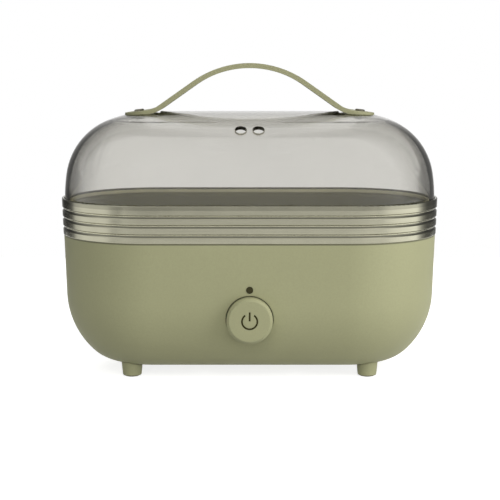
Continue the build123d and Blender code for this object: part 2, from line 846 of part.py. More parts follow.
with BuildPart() as indicator_led:
    with BuildSketch(front_plane(led_front)):
        with Locations((0, lens_z)):
            Circle(led_diameter / 2)
    extrude(amount=-led_length)
    fillet(indicator_led.edges().group_by(Axis.Y)[0], led_diameter * 0.4)
    with BuildSketch(front_plane(led_front + led_length)):
        with Locations((-led_leg_spacing / 2, lens_z), (led_leg_spacing / 2, lens_z)):
            Rectangle(led_leg, led_leg)
    extrude(amount=-(board_front - led_front - led_length))
indicator_led.part.label = "indicator_led"
export_step(indicator_led.part, "parts/indicator_led.step")

# Push button: a cup with a bevelled face and an inlaid symbol, on the switch's plunger.
boss_radius = plunger_diameter / 2 + fit_gap + plunger_boss_wall
cap_inside = face_y + button_face
boss_end = cap_inside + plunger_socket


def symbol_sketch():
    """Broken ring with a bar through its gap, on the button's face."""
    reach = 2 * symbol_radius
    half_gap = radians(symbol_gap / 2)
    with BuildSketch(front_plane(face_y)) as mark:
        with Locations((0, button_z)):
            Circle(symbol_radius)
            Circle(symbol_radius - symbol_stroke, mode=Mode.SUBTRACT)
        with BuildLine():
            Polyline(
                (0, button_z),
                (reach * sin(half_gap), button_z + reach * cos(half_gap)),
                (-reach * sin(half_gap), button_z + reach * cos(half_gap)),
                close=True,
            )
        make_face(mode=Mode.SUBTRACT)
        bar_top = button_z + symbol_radius + symbol_stroke / 2
        with Locations((0, bar_top - symbol_bar / 2)):
            Rectangle(symbol_stroke, symbol_bar)
    return mark.sketch


symbol_shape = symbol_sketch()
with BuildPart() as button_cap:
    with BuildSketch(front_plane(face_y)):
        with Locations((0, button_z)):
            Circle(button_diameter / 2)
    extrude(amount=-button_depth)
    chamfer(button_cap.edges().group_by(Axis.Y)[0], button_bevel)
    with BuildSketch(front_plane(skirt_end)):
        with Locations((0, button_z)):
            Circle(button_diameter / 2 - button_wall)
    extrude(amount=button_depth - button_face, mode=Mode.SUBTRACT)
    with BuildSketch(front_plane(cap_inside)):
        with Locations((0, button_z)):
            Circle(boss_radius)
            Circle(plunger_diameter / 2 + fit_gap, mode=Mode.SUBTRACT)
    extrude(amount=-plunger_socket)
    extrude(symbol_shape, amount=-symbol_depth, mode=Mode.SUBTRACT)
button_cap.part.label = "button_cap"
export_step(button_cap.part, "parts/button_cap.step")

with BuildPart() as power_symbol:
    extrude(symbol_shape, amount=-symbol_depth)
power_symbol.part.label = "power_symbol"
export_step(power_symbol.part, "parts/power_symbol.step")

with BuildPart() as switch_plunger:
    with BuildSketch(front_plane(cap_inside)):
        with Locations((0, button_z)):
            Circle(plunger_diameter / 2)
    extrude(amount=-(switch_front + plunger_bite - cap_inside))
switch_plunger.part.label = "switch_plunger"
export_step(switch_plunger.part, "parts/switch_plunger.step")

# Return spring round the plunger, between the switch and the button's boss.
spring_radius = plunger_diameter / 2 + slide_gap + spring_wire / 2
spring_length = switch_front - boss_end - spring_wire - 2 * fit_gap
spring_start = Vector(0, boss_end + fit_gap + spring_wire / 2, button_z)
with BuildPart() as switch_spring:
    with BuildLine() as coil:
        Helix(spring_length / spring_turns, spring_length, spring_radius, spring_start, (0, 1, 0))
    with BuildSketch(Plane(origin=coil.line @ 0, z_dir=coil.line % 0)):
        Circle(spring_wire / 2)
    sweep(is_frenet=True)
switch_spring.part.label = "switch_spring"
export_step(switch_spring.part, "parts/switch_spring.step")

# Rear socket: a rounded block through the wall with a flange inside, and two round pins.
inlet_planes = Plane(origin=(0, inlet_face, 0), x_dir=(-1, 0, 0), z_dir=(0, 1, 0))
socket_floor = inlet_face - socket_depth
with BuildPart() as inlet_housing:
    with BuildSketch(inlet_planes):
        with Locations((0, inlet_z)):
            RectangleRounded(inlet_width, inlet_height, inlet_corner)
    extrude(amount=-inlet_depth)
    fillet(inlet_housing.edges().group_by(Axis.Y)[-1], 1.2)
    with BuildSketch(inlet_planes.offset(-inlet_depth)):
        with Locations((0, inlet_z)):
            RectangleRounded(
                inlet_screw_spacing + tapping_head + inlet_flange,
                inlet_height + inlet_flange,
                inlet_corner,
            )
        with Locations(*inlet_screw_spots):
            Circle(tapping_diameter / 2 + fit_gap, mode=Mode.SUBTRACT)
    extrude(amount=inlet_flange_thickness)
    with BuildSketch(inlet_planes):
        with Locations((0, inlet_z)):
            SlotOverall(socket_width, socket_height)
    extrude(amount=-socket_depth, mode=Mode.SUBTRACT)
    with BuildSketch(inlet_planes):
        with Locations((-pin_spacing / 2, inlet_z), (pin_spacing / 2, inlet_z)):
            Circle(pin_diameter / 2 + fit_gap)
    extrude(amount=-2 * inlet_depth, mode=Mode.SUBTRACT)
inlet_housing.part.label = "inlet_housing"
export_step(inlet_housing.part, "parts/inlet_housing.step")

pin_tip = socket_floor + pin_length
pin_back = inlet_end - pin_tail
with BuildPart() as inlet_pins:
    with BuildSketch(inlet_planes.offset(pin_tip - inlet_face)):
        with Locations((-pin_spacing / 2, inlet_z), (pin_spacing / 2, inlet_z)):
            Circle(pin_diameter / 2)
    extrude(amount=-(pin_tip - pin_back))
inlet_pins.part.label = "inlet_pins"
export_step(inlet_pins.part, "parts/inlet_pins.step")

with BuildPart() as inlet_screws:
    with BuildSketch(inlet_planes.offset(-inlet_depth)):
        with Locations(*inlet_screw_spots):
            Circle(tapping_head / 2)
    extrude(amount=-tapping_head_height)
    with BuildSketch(inlet_planes.offset(-inlet_depth)):
        with Locations(*inlet_screw_spots):
            Circle(tapping_diameter / 2)
    extrude(amount=tapping_bite - shell_wall / 2)
inlet_screws.part.label = "inlet_screws"
export_step(inlet_screws.part, "parts/inlet_screws.step")


def wire_along(points):
    """Insulated wire along straight runs joined by arcs."""
    direction = Vector(points[1]) - Vector(points[0])
    with BuildPart() as wire:
        with BuildLine():
            FilletPolyline(*points, radius=wire_bend)
        with BuildSketch(Plane(origin=points[0], z_dir=direction)):
            Circle(wire_diameter / 2)
        sweep()
    return wire.part


# Internal wiring: socket to switch, switch to thermostat, thermostat to fuse, fuse and socket to heater.
switch_tail = board_back + seat_gap
switch_leg_x = switch_width / 4
wire_level = inlet_z - wire_bend
tab_z = thermostat_bottom + terminal_tab_thickness
tab_row = tab_reach - wire_diameter * 0.75
tab_side = terminal_tab_width / 2 + seat_gap
fuse_side_z = fuse_z - fuse_lead_diameter / 2 - wire_diameter / 2 - seat_gap
fuse_row = fuse_end - wire_diameter / 2
tab_middle = tab_top - terminal_tab_length / 2
tab_beside = terminal_x - terminal_tab_thickness / 2 - wire_diameter / 2 - seat_gap
tab_under = tab_top - terminal_tab_length - seat_gap
pin_x = pin_spacing / 2
wire_routes = {
    "wire_socket_to_switch": [
        (-pin_x, pin_back - seat_gap, inlet_z),
        (-pin_x, pin_back - 3 * wire_bend, inlet_z),
        (-switch_leg_x - wire_bend, 0, wire_level),
        (-switch_leg_x, switch_tail + 3 * wire_bend, button_z),
        (-switch_leg_x, switch_tail, button_z),
    ],
    "wire_switch_to_thermostat": [
        (switch_leg_x, switch_tail, button_z),
        (switch_leg_x, switch_tail + 1.5 * wire_bend, button_z),
        (0, -tab_row, (button_z + tab_z) / 2),
        (0, -tab_row, tab_z - terminal_tab_thickness / 2 - seat_gap),
    ],
    "wire_thermostat_to_fuse": [
        (tab_side, -tab_row, tab_z),
        (fuse_x - 1.5 * wire_bend, -tab_row, tab_z),
        (fuse_x, -fuse_row, fuse_side_z),
    ],
    "wire_fuse_to_heater": [
        (fuse_x, fuse_row, fuse_side_z),
        ((fuse_x + tab_beside) / 2, run_y, (fuse_side_z + tab_middle) / 2),
        (tab_beside, run_y, tab_middle),
    ],
    "wire_socket_to_heater": [
        (pin_x, pin_back - seat_gap, inlet_z),
        (pin_x, pin_back - 3 * wire_bend, inlet_z),
        (terminal_x, -run_y, inlet_z),
        (terminal_x, -run_y, tab_under),
    ],
}
for wire_name, route in wire_routes.items():
    run = wire_along(route)
    with BuildPart() as wire:
        add(run)
    wire.part.label = wire_name
    export_step(wire.part, f"parts/{wire_name}.step")

# Egg tray: a drafted dish with a flange on the pan, a ring inside the lid and eight open seats.
tray_floor_top = tray_seat - tray_depth + tray_floor
tray_floor_bottom = tray_seat - tray_depth
ring_top = lid_bottom - seat_gap + tray_ring_height
ledge_top = tray_seat + tray_flange
with BuildSketch() as tray_section:
    with BuildLine():
        Polyline(
            (0, tray_floor_bottom),
            (tray_wall_radius, tray_floor_bottom),
            (tray_wall_radius, tray_seat),
            (tray_radius, tray_seat),
            (tray_radius, ledge_top),
            (ring_radius, ledge_top),
            (ring_radius, ring_top),
            (ring_radius - tray_ring_wall, ring_top),
            (ring_radius - tray_ring_wall, ledge_top),
            (tray_wall_radius - tray_wall, tray_seat),
            (tray_wall_radius - tray_wall, tray_floor_top),
            (0, tray_floor_top),
            close=True,
        )
    make_face()
    tray_corner = Vector(tray_wall_radius, tray_floor_bottom)
    fillet(tray_section.vertices().sort_by_distance(tray_corner)[0], 3.0)
    ring_corners = tray_section.vertices().group_by(Axis.Y)[-1]
    fillet(ring_corners, tray_ring_wall * 0.4)
tray_solid = stadium(tray_section.sketch)
seat_spots = [
    ((column - (seat_columns - 1) / 2) * seat_pitch, (row - (seat_rows - 1) / 2) * seat_pitch)
    for column in range(seat_columns)
    for row in range(seat_rows)
]
steam_spots = [((column - (seat_columns - 2) / 2) * seat_pitch, 0) for column in range(seat_columns - 1)]
steam_row = seat_pitch * 0.8
steam_spots = steam_spots + [(x, side * steam_row) for x, y in steam_spots for side in (-1, 1)]
seat_top = seat_top_diameter / 2
seat_bottom = seat_bottom_diameter / 2
with BuildSketch(Plane.XZ) as seat_wall_section:
    with BuildLine():
        Polyline(
            (seat_top, tray_floor_top),
            (seat_top + seat_wall, tray_floor_top),
            (seat_bottom + seat_wall, tray_floor_top - seat_depth),
            (seat_bottom, tray_floor_top - seat_depth),
            close=True,
        )
    make_face()
with BuildPart() as seat_cone:
    add(seat_wall_section.sketch)
    revolve(axis=Axis.Z)
with BuildPart() as egg_tray:
    add(tray_solid)
    with BuildSketch(Plane.XY.offset(tray_floor_bottom)):
        with Locations(*seat_spots):
            Circle(seat_top + seat_wall / 2)
        with Locations(*steam_spots):
            Circle(steam_hole_diameter / 2)
    extrude(amount=tray_floor, mode=Mode.SUBTRACT)
    with Locations(*seat_spots):
        add(seat_cone.part)
egg_tray.part.label = "egg_tray"
export_step(egg_tray.part, "parts/egg_tray.step")

# Dome lid: three arcs from the skirt to the crown, the inner face a wall thickness inside.
side_turn = radians(lid_side_turn)
crown_turn = radians(lid_side_turn + lid_shoulder_turn)
side_end = lid_radius - lid_side_radius * (1 - cos(side_turn))
shoulder_end = side_end - lid_shoulder_radius * (cos(side_turn) - cos(crown_turn))
crown_radius = shoulder_end / cos(crown_turn)
lid_skirt_top = lid_bottom + lid_skirt
shoulder_z = lid_skirt_top + lid_side_radius * sin(side_turn)
crown_z = shoulder_z + lid_shoulder_radius * (sin(crown_turn) - sin(side_turn))
lid_top = crown_z + crown_radius * (1 - sin(crown_turn))
with BuildSketch() as lid_section:
    with BuildLine():
        for inset in (0, lid_wall):
            skirt = Line((lid_radius - inset, lid_bottom), (lid_radius - inset, lid_skirt_top))
            side = JernArc(skirt @ 1, skirt % 1, lid_side_radius - inset, lid_side_turn)
            shoulder = JernArc(side @ 1, side % 1, lid_shoulder_radius - inset, lid_shoulder_turn)
            crown_arc = 90 - lid_side_turn - lid_shoulder_turn
            JernArc(shoulder @ 1, shoulder % 1, crown_radius - inset, crown_arc)
        Line((lid_radius - lid_wall, lid_bottom), (lid_radius, lid_bottom))
        Line((0, lid_top - lid_wall), (0, lid_top))
    make_face()
    fillet(lid_section.vertices().group_by(Axis.Y)[0], lid_wall * 0.3)
lid_solid = stadium(lid_section.sketch)

# Flat seats sunk in the crown for the strap's ends, square to it at each rivet, x pointing outwards.
lean = asin(rivet_inset / crown_radius)
crown_centre_z = lid_top - crown_radius
seat_reach = crown_radius - strap_seat_depth
seat_x = half_straight + seat_reach * sin(lean)
seat_z = crown_centre_z + seat_reach * cos(lean)
right_seat = Plane(
    origin=(seat_x, 0, seat_z),
    x_dir=(cos(lean), 0, -sin(lean)),
    z_dir=(sin(lean), 0, cos(lean)),
)
left_seat = Plane(
    origin=(-seat_x, 0, seat_z),
    x_dir=(-cos(lean), 0, -sin(lean)),
    z_dir=(-sin(lean), 0, cos(lean)),
)
seat_planes = [left_seat, right_seat]
rivet_hole = rivet_diameter / 2 + fit_gap

# Side view of the strap: two tabs that lie in the seats, two rising runs and a round crown.
rise = tan(radians(strap_slope))
fall = tan(lean)


def tab_height(x, above):
    """Height of a line a distance above the right-hand seat plane."""
    return seat_z + above / cos(lean) - (x - seat_x) * fall


bend_x = seat_x - strap_bend
bend_z = tab_height(bend_x, strap_tab_thickness)
peak_z = bend_z + bend_x * rise
under_peak = peak_z - strap_thickness / cos(radians(strap_slope))
under_x = (under_peak - tab_height(0, 0)) / (rise - fall)
under_z = tab_height(under_x, 0)
tab_x = seat_x + strap_tab_end
tab_low = tab_height(tab_x, 0)
tab_high = tab_height(tab_x, strap_tab_thickness)
upper_radii = [strap_foot_radius, strap_crown_radius, strap_foot_radius]
under_foot = strap_foot_radius + strap_tab_thickness
under_radii = [under_foot, strap_crown_radius - strap_thickness, under_foot]
upper_points = [
    (-tab_x, tab_high),
    (-bend_x, bend_z),
    (0, peak_z),
    (bend_x, bend_z),
    (tab_x, tab_high),
]
under_points = [
    (-tab_x, tab_low),
    (-under_x, under_z),
    (0, under_peak),
    (under_x, under_z),
    (tab_x, tab_low),
]

# Each seat is a pocket with the strap's own outline. It starts where the strap has risen clear of the crown.
seat_start = (seat_x - under_x) / cos(lean) + strap_tab_thickness
seat_length = seat_start + 2 * strap_tab_end
with BuildPart() as seat_pockets:
    for seat in seat_planes:
        with BuildSketch(seat):
            with Locations((-seat_start, 0)):
                Rectangle(seat_length, 2 * strap_width, align=(Align.MIN, Align.CENTER))
        extrude(amount=strap_thickness)
    with BuildSketch(Plane.XY.offset(lid_bottom)):
        SlotOverall(2 * (tab_x + 2 * fit_gap), strap_width + 4 * fit_gap)
    extrude(amount=peak_z, mode=Mode.INTERSECT)

vent_rise = radians(vent_angle)
vent_radius = side_end - lid_shoulder_radius * (cos(side_turn) - cos(vent_rise))
vent_z = shoulder_z + lid_shoulder_radius * (sin(vent_rise) - sin(side_turn))
vent_plane = Plane(
    origin=(0, -vent_radius, vent_z),
    x_dir=(1, 0, 0),
    z_dir=(0, -cos(vent_rise), sin(vent_rise)),
)
with BuildPart() as lid_shell:
    add(lid_solid)
    for seat in seat_planes:
        with BuildSketch(seat):
            Circle(rivet_boss_diameter / 2)
        extrude(amount=-rivet_boss_depth)
    add(seat_pockets.part, mode=Mode.SUBTRACT)
    for seat in seat_planes:
        with BuildSketch(seat):
            Circle(rivet_hole)
        extrude(amount=-2 * rivet_boss_depth, mode=Mode.SUBTRACT)
    with BuildSketch(vent_plane):
        with Locations((-vent_spacing / 2, 0), (vent_spacing / 2, 0)):
            Circle(vent_diameter / 2)
    extrude(amount=2 * lid_wall, both=True, mode=Mode.SUBTRACT)
lid_shell.part.label = "lid_shell"
export_step(lid_shell.part, "parts/lid_shell.step")

# Strap: the side view at its full width, with round ends in plan.
with BuildPart() as carry_strap:
    with BuildSketch(Plane.XZ):
        with BuildLine():
            FilletPolyline(*upper_points, radius=upper_radii)
            FilletPolyline(*under_points, radius=under_radii)
            Line((-tab_x, tab_high), (-tab_x, tab_low))
            Line((tab_x, tab_high), (tab_x, tab_low))
        make_face()
    extrude(amount=strap_width / 2, both=True)
    with BuildSketch(Plane.XY.offset(lid_bottom)):
        SlotOverall(2 * tab_x, strap_width)
    extrude(amount=peak_z, mode=Mode.INTERSECT)
    for seat in seat_planes:
        with BuildSketch(seat):
            Circle(rivet_hole)
        extrude(amount=2 * strap_tab_thickness, mode=Mode.SUBTRACT)
carry_strap.part.label = "carry_strap"
export_step(carry_strap.part, "parts/carry_strap.step")

# Rivets through the tabs and the lid, closed over washers on the inside.
washer_bottom = rivet_boss_depth + rivet_washer_thickness
with BuildPart() as strap_rivets:
    for seat in seat_planes:
        with BuildSketch(seat.offset(strap_tab_thickness)):
            Circle(rivet_head / 2)
        extrude(amount=rivet_head_height)
        with BuildSketch(seat.offset(strap_tab_thickness)):
            Circle(rivet_diameter / 2)
        extrude(amount=-(strap_tab_thickness + washer_bottom))
        with BuildSketch(seat.offset(-washer_bottom)):
            Circle(rivet_tail / 2)
        extrude(amount=-rivet_tail_height)
    fillet(strap_rivets.edges().filter_by(GeomType.CIRCLE).group_by(Axis.Z)[-1], rivet_head_height * 0.7)
    fillet(strap_rivets.edges().filter_by(GeomType.CIRCLE).group_by(Axis.Z)[0], rivet_tail_height * 0.5)
strap_rivets.part.label = "strap_rivets"
export_step(strap_rivets.part, "parts/strap_rivets.step")

with BuildPart() as strap_washers:
    for seat in seat_planes:
        with BuildSketch(seat.offset(-rivet_boss_depth)):
            Circle(rivet_washer_diameter / 2)
            Circle(rivet_hole, mode=Mode.SUBTRACT)
        extrude(amount=-rivet_washer_thickness)
strap_washers.part.label = "strap_washers"
export_step(strap_washers.part, "parts/strap_washers.step")
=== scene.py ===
import json
import math

import bpy
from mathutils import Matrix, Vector

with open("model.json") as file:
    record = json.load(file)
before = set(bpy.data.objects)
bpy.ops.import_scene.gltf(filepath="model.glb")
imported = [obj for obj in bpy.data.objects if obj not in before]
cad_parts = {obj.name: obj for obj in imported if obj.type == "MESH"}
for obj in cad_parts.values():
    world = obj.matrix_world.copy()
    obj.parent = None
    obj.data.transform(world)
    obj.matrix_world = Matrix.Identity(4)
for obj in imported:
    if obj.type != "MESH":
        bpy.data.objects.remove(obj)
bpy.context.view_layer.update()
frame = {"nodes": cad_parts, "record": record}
nodes = frame["nodes"]
scene = bpy.context.scene


# Node helpers. Texture positions are the part's own metres, so a grain keeps its size on every piece.
noise_low = 0.3
noise_high = 0.7


def shader(name):
    """New material with a Principled shader: the material, its tree and the shader."""
    mat = bpy.data.materials.new(name)
    mat.use_nodes = True
    tree = mat.node_tree
    tree.nodes.clear()
    out = tree.nodes.new("ShaderNodeOutputMaterial")
    bsdf = tree.nodes.new("ShaderNodeBsdfPrincipled")
    tree.links.new(bsdf.outputs["BSDF"], out.inputs["Surface"])
    return mat, tree, bsdf


def noise(tree, scale, detail, stretch=None):
    """Noise value in the part's frame, stretched along axes if asked."""
    coord = tree.nodes.new("ShaderNodeTexCoord")
    where = coord.outputs["Object"]
    if stretch:
        mapping = tree.nodes.new("ShaderNodeMapping")
        mapping.inputs["Scale"].default_value = stretch
        tree.links.new(where, mapping.inputs["Vector"])
        where = mapping.outputs["Vector"]
    tex = tree.nodes.new("ShaderNodeTexNoise")
    tex.inputs["Scale"].default_value = scale
    tex.inputs["Detail"].default_value = detail
    tree.links.new(where, tex.inputs["Vector"])
    return tex.outputs["Fac"]


def spread(tree, value, low, high, start=noise_low, end=noise_high):
    """Maps a value from the range start to end, or a noise's usual range, to the range low to high."""
    node = tree.nodes.new("ShaderNodeMapRange")
    node.inputs["From Min"].default_value = start
    node.inputs["From Max"].default_value = end
    node.inputs["To Min"].default_value = low
    node.inputs["To Max"].default_value = high
    tree.links.new(value, node.inputs["Value"])
    return node.outputs["Result"]


def tones(tree, value, dark, light):
    """Colour between two tones by a noise value."""
    node = tree.nodes.new("ShaderNodeValToRGB")
    node.color_ramp.elements[0].position = noise_low
    node.color_ramp.elements[1].position = noise_high
    node.color_ramp.elements[0].color = (*dark, 1)
    node.color_ramp.elements[1].color = (*light, 1)
    tree.links.new(value, node.inputs["Fac"])
    return node.outputs["Color"]


def blend(tree, factor, first, second):
    """Mix of two colours, each a socket or a tone."""
    node = tree.nodes.new("ShaderNodeMix")
    node.data_type = "RGBA"
    tree.links.new(factor, node.inputs[0])
    for socket, colour in ((node.inputs[6], first), (node.inputs[7], second)):
        if isinstance(colour, tuple):
            socket.default_value = (*colour, 1)
        else:
            tree.links.new(colour, socket)
    return node.outputs[2]


def maths(tree, operation, *values):
    """Result of a maths node, each value a socket or a number."""
    node = tree.nodes.new("ShaderNodeMath")
    node.operation = operation
    for socket, value in zip(node.inputs, values):
        if isinstance(value, float):
            socket.default_value = value
        else:
            tree.links.new(value, socket)
    return node.outputs[0]


def times(tree, first, second):
    """Product of two values."""
    return maths(tree, "MULTIPLY", first, second)


def axes(tree, where):
    """A vector's X, Y and Z."""
    node = tree.nodes.new("ShaderNodeSeparateXYZ")
    tree.links.new(where, node.inputs["Vector"])
    return node.outputs["X"], node.outputs["Y"], node.outputs["Z"]


def bump(tree, height, distance, strength, normal=None):
    """Normal from a height in metres."""
    node = tree.nodes.new("ShaderNodeBump")
    node.inputs["Strength"].default_value = strength
    node.inputs["Distance"].default_value = distance
    tree.links.new(height, node.inputs["Height"])
    if normal:
        tree.links.new(normal, node.inputs["Normal"])
    return node.outputs["Normal"]


def edges(tree, radius):
    """Normal with edges rounded by a radius, and how near an edge a point is."""
    bevel = tree.nodes.new("ShaderNodeBevel")
    bevel.samples = 6
    bevel.inputs["Radius"].default_value = radius
    geometry = tree.nodes.new("ShaderNodeNewGeometry")
    dot = tree.nodes.new("ShaderNodeVectorMath")
    dot.operation = "DOT_PRODUCT"
    tree.links.new(bevel.outputs["Normal"], dot.inputs[0])
    tree.links.new(geometry.outputs["Normal"], dot.inputs[1])
    near = spread(tree, dot.outputs["Value"], 0.0, 1.0, 0.985, 0.8)
    return bevel.outputs["Normal"], near


def shade(colour, amount):
    """A tone lighter or darker by a share."""
    return tuple(min(1.0, c * amount) for c in colour)


def dull(tree, body, colour, reach):
    """Painted shade: a darker tone where a surface lies sheltered in a corner within a reach."""
    shelter = tree.nodes.new("ShaderNodeAmbientOcclusion")
    shelter.samples = 8
    shelter.inputs["Distance"].default_value = reach
    deep = spread(tree, shelter.outputs["AO"], 1.0, 0.0, 0.55, 0.95)
    return blend(tree, deep, body, shade(colour, 0.2))


def plastic(
    name, colour, rough, grain=900.0, depth=0.00002, mottle=0.04, wear=0.25, radius=0.0004, level=0.3, painted_shade_reach=None
):
    """Moulded plastic: soft mottling, a fine spark-eroded grain, paler rubbed edges, painted shade in corners if
    asked.
    """
    mat, tree, bsdf = shader(name)
    cloud = noise(tree, 22.0, 4.0)
    fine = noise(tree, grain, 3.0)
    normal, near = edges(tree, radius)
    base = tones(tree, cloud, shade(colour, 1 - mottle), shade(colour, 1 + mottle))
    speck = tones(tree, fine, shade(colour, 1 - 2 * mottle), shade(colour, 1 + 1.5 * mottle))
    half = spread(tree, cloud, 0.35, 0.5)
    body = blend(tree, half, base, speck)
    rubbed = times(tree, near, spread(tree, noise(tree, 260.0, 3.0), 0.0, wear))
    worn = tuple(c * 0.72 + 0.28 for c in colour)
    body = blend(tree, rubbed, body, worn)
    # Painted shade: corners and gaps within the reach are darkened in the colour itself.
    if painted_shade_reach:
        body = dull(tree, body, colour, painted_shade_reach)
    tree.links.new(body, bsdf.inputs["Base Color"])
    tree.links.new(spread(tree, fine, rough - 0.05, rough + 0.06), bsdf.inputs["Roughness"])
    tree.links.new(bump(tree, fine, depth, 0.6, normal), bsdf.inputs["Normal"])
    bsdf.inputs["Specular IOR Level"].default_value = level
    return mat


def metal(name, colour, rough, stretch=(6.0, 6.0, 900.0), depth=0.000006, wear=0.2, radius=0.0002, vary=0.06):
    """Brushed or drawn metal: fine lines along the brush, uneven polish, brighter edges."""
    mat, tree, bsdf = shader(name)
    lines = noise(tree, 4.0, 5.0, stretch)
    cloud = noise(tree, 40.0, 3.0)
    normal, near = edges(tree, radius)
    base = tones(tree, lines, shade(colour, 1 - vary), shade(colour, 1 + vary))
    rubbed = times(tree, near, spread(tree, noise(tree, 300.0, 2.0), 0.0, wear))
    tree.links.new(blend(tree, rubbed, base, shade(colour, 1.25)), bsdf.inputs["Base Color"])
    tree.links.new(spread(tree, cloud, rough - 0.05, rough + 0.05), bsdf.inputs["Roughness"])
    tree.links.new(bump(tree, lines, depth, 0.5, normal), bsdf.inputs["Normal"])
    bsdf.inputs["Metallic"].default_value = 1.0
    return mat


def banded(mat, colour, rows):
    """Turns a material to another tone in rows of height, each given by where it starts, is full, fades and ends."""
    tree = mat.node_tree
    bsdf = tree.nodes["Principled BSDF"]
    base = bsdf.inputs["Base Color"].links[0].from_socket
    height = axes(tree, tree.nodes.new("ShaderNodeTexCoord").outputs["Object"])[2]
    other = tones(tree, noise(tree, 60.0, 3.0), shade(colour, 0.95), shade(colour, 1.05))
    for first, full, fade, last in rows:
        above = spread(tree, height, 0.0, 1.0, first, full)
        below = spread(tree, height, 1.0, 0.0, fade, last)
        base = blend(tree, times(tree, above, below), base, other)
    tree.links.new(base, bsdf.inputs["Base Color"])
    return mat


def rubber(name, colour, rough=0.8):
    """Soft rubber or silicone: dull, dusty and finely pitted."""
    mat, tree, bsdf = shader(name)
    dust = noise(tree, 120.0, 5.0)
    pits = noise(tree, 1500.0, 2.0)
    base = tones(tree, dust, shade(colour, 0.85), shade(colour, 1.15))
    tree.links.new(base, bsdf.inputs["Base Color"])
    tree.links.new(spread(tree, dust, rough - 0.1, rough + 0.1), bsdf.inputs["Roughness"])
    tree.links.new(bump(tree, pits, 0.00003, 0.5), bsdf.inputs["Normal"])
    bsdf.inputs["Specular IOR Level"].default_value = 0.3
    return mat


# The lid's vents: two holes side by side, square to the crown's front slope.
vent_tilt = math.radians(-34)
vent_shift = (0, -0.05418, -0.14565)
vent_offset = 0.00525
vent_edge = (0.00345, 0.0037)
vent_depth = (0.005, 0.006)


def vent_walls(tree):
    """1 on the walls of the lid's two vents, 0 elsewhere, from distances to the vents' axes."""
    coord = tree.nodes.new("ShaderNodeTexCoord")
    turned = tree.nodes.new("ShaderNodeMapping")
    turned.inputs["Rotation"].default_value = (vent_tilt, 0, 0)
    turned.inputs["Location"].default_value = vent_shift
    tree.links.new(coord.outputs["Object"], turned.inputs["Vector"])
    x, y, z = axes(tree, turned.outputs["Vector"])
    flat = tree.nodes.new("ShaderNodeCombineXYZ")
    tree.links.new(maths(tree, "SUBTRACT", maths(tree, "ABSOLUTE", x), vent_offset), flat.inputs["X"])
    tree.links.new(y, flat.inputs["Y"])
    reach = tree.nodes.new("ShaderNodeVectorMath")
    reach.operation = "LENGTH"
    tree.links.new(flat.outputs["Vector"], reach.inputs[0])
    inside = spread(tree, reach.outputs["Value"], 1.0, 0.0, *vent_edge)
    return times(tree, inside, spread(tree, maths(tree, "ABSOLUTE", z), 1.0, 0.0, *vent_depth))


def smoked(name):
    """Clear lid with a grey-brown tint that deepens with the plastic's thickness, hazed, matt in its vents."""
    mat, tree, bsdf = shader(name)
    film = noise(tree, 14.0, 4.0)
    walls = vent_walls(tree)
    clean = tones(tree, film, (0.97, 0.965, 0.95), (1.0, 0.995, 0.98))
    tree.links.new(blend(tree, walls, clean, (0.95, 0.9, 0.72)), bsdf.inputs["Base Color"])
    polish = spread(tree, film, 0.015, 0.05)
    tree.links.new(maths(tree, "MAXIMUM", polish, times(tree, walls, 0.9)), bsdf.inputs["Roughness"])
    bsdf.inputs["Transmission Weight"].default_value = 1.0
    bsdf.inputs["IOR"].default_value = 1.49
    clear = tree.nodes.new("ShaderNodeBsdfTransparent")
    clear.inputs["Color"].default_value = (0.9, 0.89, 0.86, 1)
    path = tree.nodes.new("ShaderNodeLightPath")
    mix = tree.nodes.new("ShaderNodeMixShader")
    tree.links.new(path.outputs["Is Shadow Ray"], mix.inputs["Fac"])
    tree.links.new(bsdf.outputs["BSDF"], mix.inputs[1])
    tree.links.new(clear.outputs["BSDF"], mix.inputs[2])
    out = tree.nodes["Material Output"]
    tree.links.new(mix.outputs["Shader"], out.inputs["Surface"])
    depth = tree.nodes.new("ShaderNodeVolumeAbsorption")
    depth.inputs["Color"].default_value = (0.4, 0.385, 0.33, 1)
    depth.inputs["Density"].default_value = 155.0
    tree.links.new(depth.outputs["Volume"], out.inputs["Volume"])
    return mat


def lens(name, dark, light):
    """Dark tinted light pipe, glossy, with a faint haze inside."""
    mat, tree, bsdf = shader(name)
    haze = noise(tree, 900.0, 3.0)
    tree.links.new(tones(tree, haze, dark, light), bsdf.inputs["Base Color"])
    tree.links.new(spread(tree, haze, 0.1, 0.2), bsdf.inputs["Roughness"])
    bsdf.inputs["Specular IOR Level"].default_value = 0.12
    return mat


sage = (0.34, 0.34, 0.197)
satin = (0.31, 0.302, 0.23)
marking = (0.03, 0.027, 0.008)

# Rows of height: painted shadow under the band, painted shade in the roots and a painted highlight on the upper
# flanks of its three grooves, a darker tone on its lip, and a painted highlight on the tray's rim. The last two have
# no upper end.
no_end = (0.2, 0.3)
# Painted shadow: a thin dark line on the casing just under the band's lower edge.
painted_band_shadow = [(0.0848, 0.0853, 0.0862, 0.0866)]
grooves = (0.0903, 0.09585, 0.1014)
# Painted shade in the grooves' roots and a painted highlight on their upper flanks.
painted_root_shade = [(z - 0.00095, z - 0.00075, z + 0.0002, z + 0.00035) for z in grooves]
painted_flank_highlight = [(z + 0.0003, z + 0.00045, z + 0.00085, z + 0.0011) for z in grooves]
lip = [(0.1052, 0.1055, *no_end)]
# Painted highlight along the top of the tray's rim.
painted_rim_highlight = [(0.1049, 0.1058, *no_end)]
